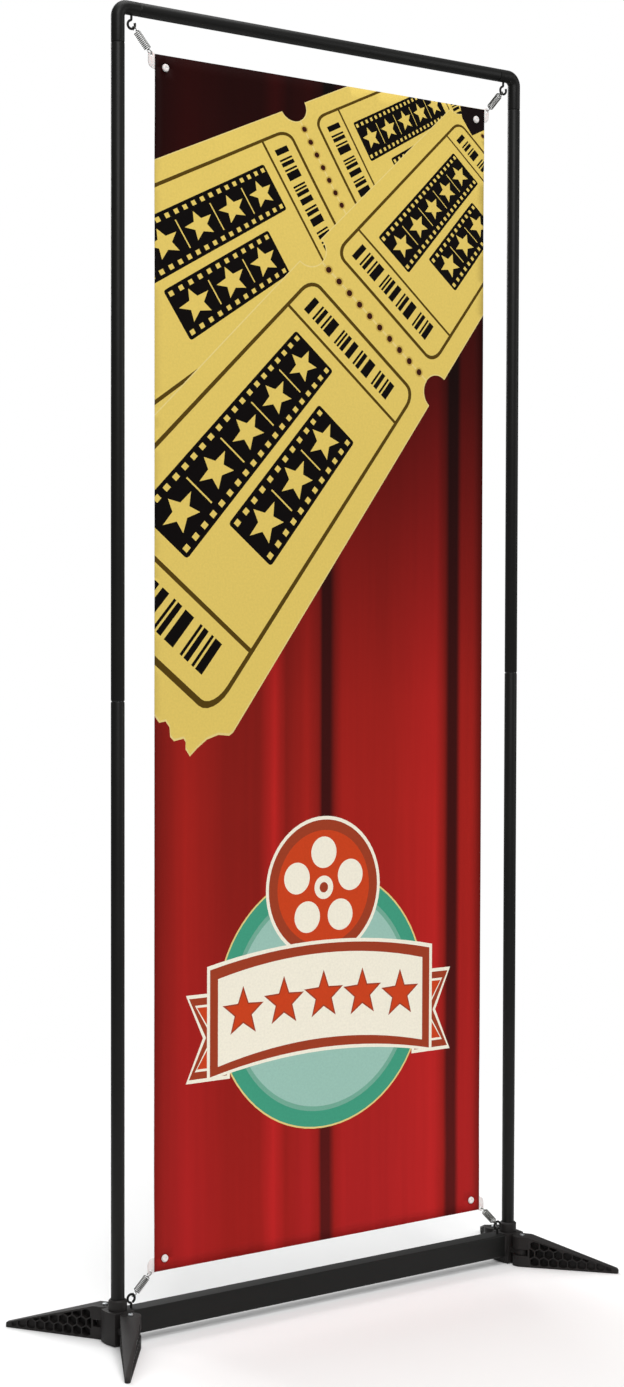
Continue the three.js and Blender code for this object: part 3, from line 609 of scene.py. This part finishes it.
def spring_path(start, end):
    """Loop, spiral out, coil, spiral in and loop, from a hook's ring to a clip's eye."""
    axis = (end - start).normalized()
    across = Vector((0, 1, 0))
    third = axis.cross(across)
    loop = SPRING["loop"] * MM
    wire = (SPRING["wire"] / 2 + SPRING["gap"]) * MM
    bow = loop - math.sqrt(loop ** 2 - clip_back ** 2)
    first = RING - WIRE - wire + loop
    last = (end - start).length - EYE["hole"] * MM + wire + bow - loop
    spiral = SPRING["spiral"] * MM
    coil_start, coil_end = first + loop + spiral, last - loop - spiral
    points = []

    def close_loop(centre, degrees):
        for i in range(LOOP_STEPS + 1):
            angle = math.radians(degrees + LOOP_TURN * i / LOOP_STEPS)
            points.append(start + axis * (centre + loop * math.cos(angle))
                          + across * loop * math.sin(angle))

    close_loop(first, 60)
    lead = TURN_STEPS // 2  # steps in each spiral, whose tightest three are left out
    steps = SPRING["turns"] * TURN_STEPS
    for i in range(3, steps + 2 * lead - 2):
        from_start, from_end = min(1, i / lead), min(1, (steps + 2 * lead - i) / lead)
        radius = SPRING["radius"] * MM * min(from_start, from_end)
        share = (i - lead) / steps
        along = coil_start + share * (coil_end - coil_start)
        if share < 0:
            along = coil_start - spiral * (1 - from_start)
        if share > 1:
            along = coil_end + spiral * (1 - from_end)
        angle = 2 * math.pi * i / TURN_STEPS
        points.append(start + axis * along + across * radius * math.cos(angle)
                      + third * radius * math.sin(angle))
    close_loop(last, 180)
    return points


for name, x_sign, z_sign in CORNERS:
    start = ring_centre(name, x_sign, z_sign)
    end = from_corner(x_sign, z_sign, EYE["out"], EYE["inside"])
    wire = path(spring_path(start, end), SPRING["wire"] / 2 * MM)
    mesh = smooth(grown(swept_wire, wire, Sides=8, Material=spring_wire), 60)
    spring = piece("spring_wire_" + name, mesh, None, ["spring_" + name])
    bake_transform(spring)
    clip = eased_copy("banner_clip_" + name, 0.4, milky)
    piece("corner_clip_" + name, clip, "banner", ["banner_clip_" + name])


def fasteners(name, mesh, places, facing, material):
    """One turned fastener set out at several places, as one plain mesh."""
    one = bpy.data.objects.new("one", mesh)
    bpy.context.collection.objects.link(one)
    points = bpy.data.meshes.new("points")
    points.from_pydata(places, [], [])
    points.attributes.new("facing", "FLOAT_VECTOR", "POINT").data.foreach_set(
        "vector", [value for _ in places for value in facing])
    result = grown(set_out, points, Fastener=one, Material=material)
    bpy.data.objects.remove(one)
    return smooth(result)


# push-in studs: a low domed head with a dimple, a shank and a snap collar
stud_seat = banner_low.y - 0.3 * MM
collar = (stud_seat - clip_back) / MM - 0.3
stud = turned([
    (0, collar - 1.5), (2.1, collar - 1.5), (2.5, collar - 1.2), (4.0, collar), (2.5, collar),
    (2.5, 0), (5.9, 0), (6.25, 0.35), (6.25, 1.1), (5.9, 2.1), (5.0, 2.9), (3.9, 3.3),
    (2.9, 3.4), (2.4, 3.2), (2.1, 2.7), (0, 2.5)])
places = [from_corner(x_sign, z_sign, -STUD_IN, STUD_IN) for _, x_sign, z_sign in CORNERS]
places = [place + Vector((0, stud_seat, 0)) for place in places]
studs = piece(
    "clip_studs", fasteners("studs", stud, places, (0, -1, 0), milky), "banner",
    ["clip_stud_" + name for name, _, _ in CORNERS])

# ------------ hubs, feet and fasteners

for side, sign in SIDES:
    node = "hub_" + side
    piece(node + "_moulding", eased_copy(node, 1.0, nylon, 3), "frame", [node])

for end, _ in ENDS:
    for side, _ in SIDES:
        tag = end + "_" + side
        body = "foot_" + tag
        piece(body + "_moulding", eased_copy(body, 0.5, nylon), body, [body])

        low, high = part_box("pivot_screw_" + tag)
        axis = middle("pivot_screw_" + tag)
        top = high.z / MM
        screw = turned([
            (0, low.z / MM), (2.5, low.z / MM), (3, low.z / MM + 0.5), (3, top - 2.2),
            (4.2, top - 2.2), (4.5, top - 1.9), (4.5, top - 1.3), (4.2, top - 0.5),
            (3.6, top - 0.1), (2.9, top), (2, top - 0.1, "hex"), (2, top - 1.3, "hex"),
            (0, top - 1.3)])
        screw.transform(Matrix.Translation((axis.x, axis.y, 0)))
        screw.materials.append(zinc)
        piece("pivot_bolt_" + tag, screw, body, ["pivot_screw_" + tag])

        low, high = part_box("pivot_nut_" + tag)
        base, top = low.z / MM, high.z / MM
        nut = turned([
            (3.3, base + 0.3), (3.7, base), (4.8, base), (5, base + 0.5, "hex"),
            (5, top - 0.5, "hex"), (4.8, top), (3.7, top), (3.3, top - 0.3)])
        splay = math.atan2(*(middle(body) - axis).xy.yx)
        nut.transform(Matrix.Translation((axis.x, axis.y, 0)) @ Matrix.Rotation(splay, 4, "Z"))
        nut.materials.append(zinc)
        piece("pivot_hex_nut_" + tag, nut, body, ["pivot_nut_" + tag])

# blind rivets that hold the tubes' inner pieces, on the back of the frame
RIVET_HEAD = [(3.2, 0), (3.2, 0.3), (2.9, 0.75), (2.2, 1.1), (1.2, 1.3), (0.9, 1.05), (0, 1.0)]
rivet_nodes = [kind + "_rivet_" + side for kind in ("ferrule", "corner") for side, _ in SIDES]
low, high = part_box("corner_rivet_left")
rivet_seat = high.y - 1.3 * MM
shank = (rivet_seat - low.y) / MM
rivet = turned([(0, -shank), (1.6, -shank), (1.6, 0)] + RIVET_HEAD)
places = [Vector((middle(node).x, rivet_seat, middle(node).z)) for node in rivet_nodes]
piece("tube_rivets", fasteners("rivets", rivet, places, (0, 1, 0), anodised), "frame",
      rivet_nodes)

# pan-head screws, seen from below: a hexagonal socket, a rounded head and a shank
low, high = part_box("crossbar_screw_left")
pan_screw = turned([
    (0, 0.8), (1.25, 0.8, "hex"), (1.25, 0, "hex"), (2.6, 0), (3.5, 0.3), (4, 1), (4, 2),
    (2, 2), (2, (high.z - low.z) / MM), (0, (high.z - low.z) / MM)])
places = [Vector((sign * middle("crossbar_screw_right").x, 0, low.z)) for _, sign in SIDES]
piece("crossbar_pan_screws", fasteners("screws", pan_screw, places, (0, 0, 1), zinc), "frame",
      ["crossbar_screw_left", "crossbar_screw_right"])

# ------------ the banner's print

# Shapes in painting order, each an outline in millimetres from the banner's lower left
# corner, and its colour. The curtain shows wherever nothing is painted.
INK = {
    "card": "e6ca68", "card_edge": "ead488", "outline": "55400f", "black": "080404",
    "perforation": "3a160c", "rim": "c9a850", "teal": "44a082", "pale": "9fc9bb",
    "shade": "76b09a", "brown": "a34026", "orange": "d0451f", "cream": "fbf5e2",
    "deep": "120608",
}
shapes = []


def paint(outline, ink):
    shapes.append((outline, INK[ink]))


def disc(x, z, radius, steps):
    """Points round a circle."""
    return [(x + radius * math.cos(math.radians(360 * i / steps)),
             z + radius * math.sin(math.radians(360 * i / steps))) for i in range(steps)]


def star(x, z, radius, waist=0.42, stretch=1.0):
    points = []
    for i in range(10):
        reach = radius * (1 if i % 2 == 0 else waist)
        angle = math.radians(90 + 36 * i)
        points.append((x + reach * math.cos(angle), z + reach * stretch * math.sin(angle)))
    return points


def rounded(left, right, low, high, across, upward, steps=6):
    """A rectangle whose corners are rounded by different amounts across and upwards."""
    points = []
    for x, z, start in ((right - across, high - upward, 0), (left + across, high - upward, 90),
                        (left + across, low + upward, 180), (right - across, low + upward, 270)):
        for i in range(steps + 1):
            angle = math.radians(start + 90 * i / steps)
            points.append((x + across * math.cos(angle), z + upward * math.sin(angle)))
    return points


def sheet_of_card(corners):
    """Carries (along, across) on a ticket, from 0 to 1 in its border, to the banner."""
    (x0, z0), (x1, z1), (x2, z2), (x3, z3) = corners
    sum_x, sum_z = x0 - x1 + x2 - x3, z0 - z1 + z2 - z3
    ax, az, bx, bz = x1 - x2, z1 - z2, x3 - x2, z3 - z2
    scale = ax * bz - bx * az
    g = (sum_x * bz - bx * sum_z) / scale
    h = (ax * sum_z - sum_x * az) / scale

    def place(along, across):
        depth = g * along + h * across + 1
        return (((x1 - x0 + g * x1) * along + (x3 - x0 + h * x3) * across + x0) / depth,
                ((z1 - z0 + g * z1) * along + (z3 - z0 + h * z3) * across + z0) / depth)
    return place


# A ticket's sizes are shares of its border's length (along) and height (across).
CARD = {"end": 0.066, "edge": 0.12, "notch": (0.06, 0.105), "inside": (0.994, 0.99)}
BORDER = {"line": 0.012, "outer": (0.06, 0.085), "inner": (0.052, 0.07)}
TALL = 1.75  # a share of the height that looks as long as a share of 1 of the length
STUBS = ((0.145, 0.045, 0.115), (0.865, 0.895, 0.955))  # line, then the bars' two ends
FILMS = ((0.19, 0.825, 0.15, 0.475, 5), (0.31, 0.715, 0.53, 0.835, 3))  # sides and frames
FRAME_LINE = (0.002, 0.075)  # half its width, and how far it stops inside the film's edges
FILM_HOLE = (0.007, 0.014, 0.034)  # half its length and height, and its place in the film
BARS_HIGH = 0.78
BAR_PITCH = 1.75  # a bar and the gap after it, in widths of the bar
# The end torn off the roll: uneven teeth, then a long curl up to the lower edge.
TORN_END = [
    (-0.05, -0.08), (-0.064, 0.02), (-0.055, 0.1), (-0.07, 0.22), (-0.058, 0.3), (-0.071, 0.43),
    (-0.055, 0.56), (-0.066, 0.64), (-0.06, 0.72), (-0.068, 0.81), (-0.059, 0.83),
    (-0.062, 0.86), (-0.073, 0.885), (-0.074, 0.91), (-0.06, 0.94), (-0.062, 0.957),
    (-0.071, 0.973), (-0.075, 1.007), (-0.056, 1.016), (-0.034, 1.032), (-0.014, 1.066),
    (-0.002, 1.112), (0.007, 1.12)]
BARS = (3, 1, 2, 1, 4, 1, 1, 2, 3, 1, 2, 4, 1, 2, 1, 3)  # widths of a stub's bars


def ticket(corners, torn=False):
    """One cinema ticket: a notched card, its border, two film strips and two barred stubs."""
    place = sheet_of_card(corners)

    def on_card(points, ink):
        paint([place(*point) for point in points], ink)

    def block(left, right, low, high, ink):
        on_card([(left, low), (right, low), (right, high), (left, high)], ink)

    end, edge, (notch_along, notch_across) = CARD["end"], CARD["edge"], CARD["notch"]
    outline = []
    for along, across, start in ((1 + end, 1 + edge, 180), (1 + end, -edge, 90),
                                 (-end, -edge, 0), (-end, 1 + edge, 270)):
        if torn and along < 0:
            continue
        for i in range(9):
            angle = math.radians(start + 90 * i / 8)
            outline.append((along + notch_along * math.cos(angle),
                            across + notch_across * math.sin(angle)))
    if torn:
        outline += TORN_END
    on_card(outline, "card_edge")
    length, height = CARD["inside"]
    on_card([(0.5 + (along - 0.5) * length, 0.5 + (across - 0.5) * height)
             for along, across in outline], "card")

    wide = BORDER["line"]
    on_card(rounded(0, 1, 0, 1, *BORDER["outer"]), "outline")
    on_card(rounded(wide, 1 - wide, wide * TALL, 1 - wide * TALL, *BORDER["inner"]), "card")
    for along, _, _ in STUBS:
        block(along - wide / 2.6, along + wide / 2.6, wide, 1 - wide, "outline")

    # two lengths of film, with a star in each frame
    half_line, stop = FRAME_LINE
    half_long, half_high, inset = FILM_HOLE
    for left, right, low, high, frames in FILMS:
        on_card(rounded(left, right, low, high, 0.008, 0.014, 2), "black")
        step = (right - left) / frames
        for i in range(frames):
            x = left + step * (i + 0.5)
            on_card(star(x, (low + high) / 2, step * 0.4, 0.45, -TALL), "card")
            if i:
                block(x - step / 2 - half_line, x - step / 2 + half_line, low + stop,
                      high - stop, "card")
        holes = frames * 4
        for i in range(holes):
            x = left + (right - left) * (i + 0.5) / holes
            for z in (low + inset, high - inset):
                block(x - half_long, x + half_long, z - half_high, z + half_high, "card")

    # a row of bars on each stub
    unit = BARS_HIGH / (sum(BARS) * BAR_PITCH)
    for _, left, right in STUBS:
        start = 0.1
        for width in BARS:
            block(left, right, start, start + width * unit, "black")
            start += width * unit * BAR_PITCH


PUNCH = {"count": 10, "first": 0.05, "pitch": 0.0985, "radii": (0.0115, 0.02), "sides": 10}


def perforation(corners):
    """The round holes punched across the line between two tickets, each with a worn rim."""
    place = sheet_of_card(corners)
    radius_along, radius_across = PUNCH["radii"]
    for k in range(PUNCH["count"]):
        across = PUNCH["first"] + PUNCH["pitch"] * k
        for size, ink in ((1.5, "rim"), (1.0, "perforation")):
            turns = [2 * math.pi * i / PUNCH["sides"] for i in range(PUNCH["sides"])]
            paint([place(1 + CARD["end"] + radius_along * size * math.cos(angle),
                         across + radius_across * size * math.sin(angle))
                   for angle in turns], ink)


# each ticket's border, from its lower left corner: the rear strip, then the front one
REAR_STRIP = (
    ((-300, 1626), (267, 1883), (405, 1680), (-95, 1343)),
    ((317, 1906), (605, 2037), (707, 1883), (450, 1710)),
    ((634, 2050), (808, 2129), (888, 2005), (732, 1901)))
FRONT_STRIP = (
    ((-207, 1153), (316, 1641), (545, 1457), (113, 900)),
    ((364, 1686), (639, 1942), (812, 1802), (584, 1508)),
    ((667, 1968), (836, 2126), (975, 2013), (835, 1832)))
for strip in (REAR_STRIP, FRONT_STRIP):
    for corners in strip:
        ticket(corners, torn=corners is FRONT_STRIP[0])
    for corners in strip[:-1]:
        perforation(corners)
# the dark of the curtain past the rear strip's end
paint([(642, 1968), (647, 1947), (670, 1919), (698.5, 1932), (698.5, 1968)], "deep")

# the badge: a teal ring with a film reel over it and a ribbon of stars across it
BADGE = (345, 415)
REEL = (345, 606)
REEL_HOLES = {"count": 5, "from_middle": 60, "radius": 27}
for radius, ink in ((222, "card_edge"), (219, "teal"), (192, "shade"), (184, "pale")):
    paint(disc(*BADGE, radius, 72), ink)
for radius, ink in ((122, "cream"), (116, "brown"), (98, "orange")):
    paint(disc(*REEL, radius, 60), ink)
for i in range(REEL_HOLES["count"]):
    angle = math.radians(90 + 360 / REEL_HOLES["count"] * i)
    paint(disc(REEL[0] + REEL_HOLES["from_middle"] * math.cos(angle),
               REEL[1] + REEL_HOLES["from_middle"] * math.sin(angle),
               REEL_HOLES["radius"], 30), "cream")
paint(disc(*REEL, 20, 30), "cream")
paint(disc(*REEL, 9, 20), "brown")

# the ribbon: its two notched tails, then its front, bowed upwards, and a row of stars
RIBBON = {"left": 104, "right": 586, "low": 300, "high": 490, "bow": 26, "steps": 16}
TAILS = {"low": 300, "high": 446, "notch": 34}
STARS = {"count": 5, "pitch": 84}
ribbon_middle = (RIBBON["left"] + RIBBON["right"]) / 2
ribbon_half = (RIBBON["right"] - RIBBON["left"]) / 2


def ribbon(inset):
    """The ribbon's front, drawn in by an inset on every side."""
    left, right = RIBBON["left"] + inset, RIBBON["right"] - inset
    low, high = RIBBON["low"] + inset, RIBBON["high"] - inset

    def rise(x):
        return RIBBON["bow"] * (1 - ((x - (left + right) / 2) / ((right - left) / 2)) ** 2)

    across = [left + (right - left) * i / RIBBON["steps"] for i in range(RIBBON["steps"] + 1)]
    ends = (low + high) / 2
    return ([(x, low + rise(x)) for x in across] + [(right, ends)]
            + [(x, high + rise(x)) for x in reversed(across)] + [(left, ends)])


for inner, outer, toward in ((150, 62, 1), (540, 628, -1)):
    for inset, ink in ((0, "cream"), (6, "brown"), (18, "cream"), (22, "orange")):
        low, high = TAILS["low"] + inset, TAILS["high"] - inset
        inside, outside = inner - toward * inset, outer + toward * inset
        paint([(inside, low), (inside, high), (outside, high),
               (outside + toward * TAILS["notch"], (low + high) / 2), (outside, low)], ink)
for inset, ink in ((0, "cream"), (6, "brown"), (22, "cream")):
    paint(ribbon(inset), ink)
for i in range(STARS["count"]):
    x = ribbon_middle + STARS["pitch"] * (i - STARS["count"] // 2)
    z = ((RIBBON["low"] + RIBBON["high"]) / 2
         + RIBBON["bow"] * (1 - ((x - ribbon_middle) / ribbon_half) ** 2))
    for radius, ink in ((44, "brown"), (37, "orange")):
        paint(star(x, z, radius), ink)

# ------------ the banner's cloth

GRID = 20.0  # millimetres between the cloth's points
STUD_HOLE = 2.8
width_mm, length_mm = banner_width / MM, banner_length / MM
holes = [(x, z) for x in (STUD_IN, width_mm - STUD_IN) for z in (STUD_IN, length_mm - STUD_IN)]
outlines = [[(0, 0), (width_mm, 0), (width_mm, length_mm), (0, length_mm)]]
outlines += [outline for outline, _ in shapes]
outlines += [disc(x, z, STUD_HOLE, steps=16) for x, z in holes]
first_hole = 1 + len(shapes)


def fine(outline):
    """An outline with no side longer than the cloth's grid, so that it can bend with it."""
    points = []
    for (x, z), (next_x, next_z) in zip(outline, outline[1:] + outline[:1]):
        steps = max(1, math.ceil(math.hypot(next_x - x, next_z - z) / GRID))
        points += [(x + (next_x - x) * i / steps, z + (next_z - z) * i / steps)
                   for i in range(steps)]
    return points


points, loops = [], []
for outline in map(fine, outlines):
    turn = sum(a[0] * b[1] - b[0] * a[1] for a, b in zip(outline, outline[1:] + outline[:1]))
    ordered = outline if turn > 0 else outline[::-1]
    loops.append(list(range(len(points), len(points) + len(ordered))))
    points += [Vector(point) for point in ordered]
columns, rows = round(width_mm / GRID), round(length_mm / GRID)
points += [Vector((width_mm * i / columns, length_mm * k / rows))
           for i in range(columns + 1) for k in range(rows + 1)]
flat_points, _, triangles, _, _, owners = delaunay_2d_cdt(points, [], loops, 0, 0.001)


# the height of the ripples in mm, how many fold round a corner, and the distances from
# it at which they start, reach their height and die away
RIPPLE = {"height": 2.2, "folds": 7, "start": 40, "grow": 160, "fade": 240}


def ripple(x, z):
    """How far the taut cloth stands proud, in mm: faint folds that run from each corner."""
    lift = 0.0
    for hole_x, hole_z in holes:
        out_x, out_z = abs(x - hole_x), abs(z - hole_z)
        reach = math.hypot(out_x, out_z)
        start = min(1.0, max(0.0, (reach - RIPPLE["start"]) / RIPPLE["grow"]))
        fade = start * start * (3 - 2 * start) * math.exp(-reach / RIPPLE["fade"])
        lift += fade * math.cos(RIPPLE["folds"] * math.atan2(out_z, out_x))
    return -RIPPLE["height"] * lift


cloth = bmesh.new()
ink_layer = cloth.loops.layers.float_color.new("ink")
cloth_points = [cloth.verts.new((
    p.x * MM + banner_low.x, banner_low.y + ripple(p.x, p.y) * MM, p.y * MM + banner_low.z))
    for p in flat_points]
for triangle, owner in zip(triangles, owners):
    if 0 not in owner or any(index >= first_hole for index in owner):
        continue
    face = cloth.faces.new([cloth_points[i] for i in triangle])
    face.smooth = True
    top = max(owner)
    colour = linear(shapes[top - 1][1]) if top else [0.0] * 4
    for corner in face.loops:
        corner[ink_layer] = colour
bmesh.ops.delete(cloth, geom=[v for v in cloth.verts if not v.link_faces], context="VERTS")
banner_mesh = bpy.data.meshes.new("banner_cloth")
cloth.to_mesh(banner_mesh)
cloth.free()
banner_mesh.materials.append(vinyl)
banner_mesh.materials.append(vinyl_back)
banner = piece("banner_cloth", banner_mesh, "banner", ["banner"])
thickness = banner.modifiers.new("thickness", "SOLIDIFY")
thickness.thickness = banner_high.y - banner_low.y
thickness.offset = -1
thickness.material_offset = 1
thickness.material_offset_rim = 1

# ------------ CAD nodes that stay

KEPT = {"post_ferrule": steel, "friction_washer": acetal}
for name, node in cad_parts.items():
    for kind, material in KEPT.items():
        if name.startswith(kind):
            for slot in node.material_slots:
                slot.material = material

# ------------ floor, light and camera

FLOOR = {"radius": 40, "sides": 96, "drop": 0.0005}  # metres; just under the soles
floor_mesh = bpy.data.meshes.new("floor")
turns = [2 * math.pi * i / FLOOR["sides"] for i in range(FLOOR["sides"])]
floor_mesh.from_pydata(
    [(FLOOR["radius"] * math.cos(angle), FLOOR["radius"] * math.sin(angle), -FLOOR["drop"])
     for angle in turns], [], [list(range(FLOOR["sides"]))])
floor = bpy.data.objects.new("floor", floor_mesh)
bpy.context.collection.objects.link(floor)
floor_mesh.materials.append(finished(pale_studio_floor))

world = bpy.data.worlds.new("studio")
bpy.context.scene.world = world
world.use_nodes = True
tree = world.node_tree
tree.nodes.clear()
# white where it is seen, and only a soft glow where it lights the stand
glow = add(tree, "ShaderNodeBackground", {"Color": linear("ffffff"), "Strength": 0.25})
seen = add(tree, "ShaderNodeBackground", {"Color": linear("ffffff"), "Strength": 1.0})
either = add(tree, "ShaderNodeMixShader", {
    0: add(tree, "ShaderNodeLightPath").outputs["Is Camera Ray"],
    1: glow.outputs["Background"], 2: seen.outputs["Background"]})
add(tree, "ShaderNodeOutputWorld", {"Surface": either.outputs["Shader"]})


def soft_box(name, place, aim, size, power):
    """A large square studio light, its side in metres, turned towards a point."""
    light = bpy.data.lights.new(name, "AREA")
    light.shape = "SQUARE"
    light.size = size
    light.energy = power
    lamp = bpy.data.objects.new(name, light)
    bpy.context.collection.objects.link(lamp)
    lamp.location = place
    lamp.rotation_euler = (Vector(aim) - Vector(place)).to_track_quat("-Z", "Y").to_euler()


soft_box("key", (-2.2, -4.2, 4.2), (0, 0, 1.0), 3.0, 190)
soft_box("fill", (3.6, -3.0, 2.2), (0, 0, 1.0), 2.5, 36)
soft_box("back", (0.5, 4.0, 3.4), (0, 0, 1.0), 3.0, 125)
soft_box("top", (0, -0.3, 5.0), (0, 0, 0), 3.0, 110)

CAMERA_PLACE = (-2.4861, -3.2586, 1.1722)
YAW, PITCH, ROLL = 0.6458, 0.0324, -0.0026  # the way the camera looks, in radians
ahead = Vector((math.sin(YAW) * math.cos(PITCH), math.cos(YAW) * math.cos(PITCH),
                -math.sin(PITCH)))
level = Vector((math.cos(YAW), -math.sin(YAW), 0))
down = ahead.cross(level)
right = level * math.cos(ROLL) + down * math.sin(ROLL)
down = down * math.cos(ROLL) - level * math.sin(ROLL)
camera = bpy.data.objects.new("camera", bpy.data.cameras.new("camera"))
bpy.context.collection.objects.link(camera)
camera.data.sensor_width = 36.0  # along the upright side
camera.data.lens = 62.5
camera.data.dof.use_dof = False
camera.matrix_world = Matrix.Translation(CAMERA_PLACE) @ Matrix(
    (right, -down, -ahead)).transposed().to_4x4()
bpy.context.scene.camera = camera
bpy.context.scene.view_settings.view_transform = "Standard"
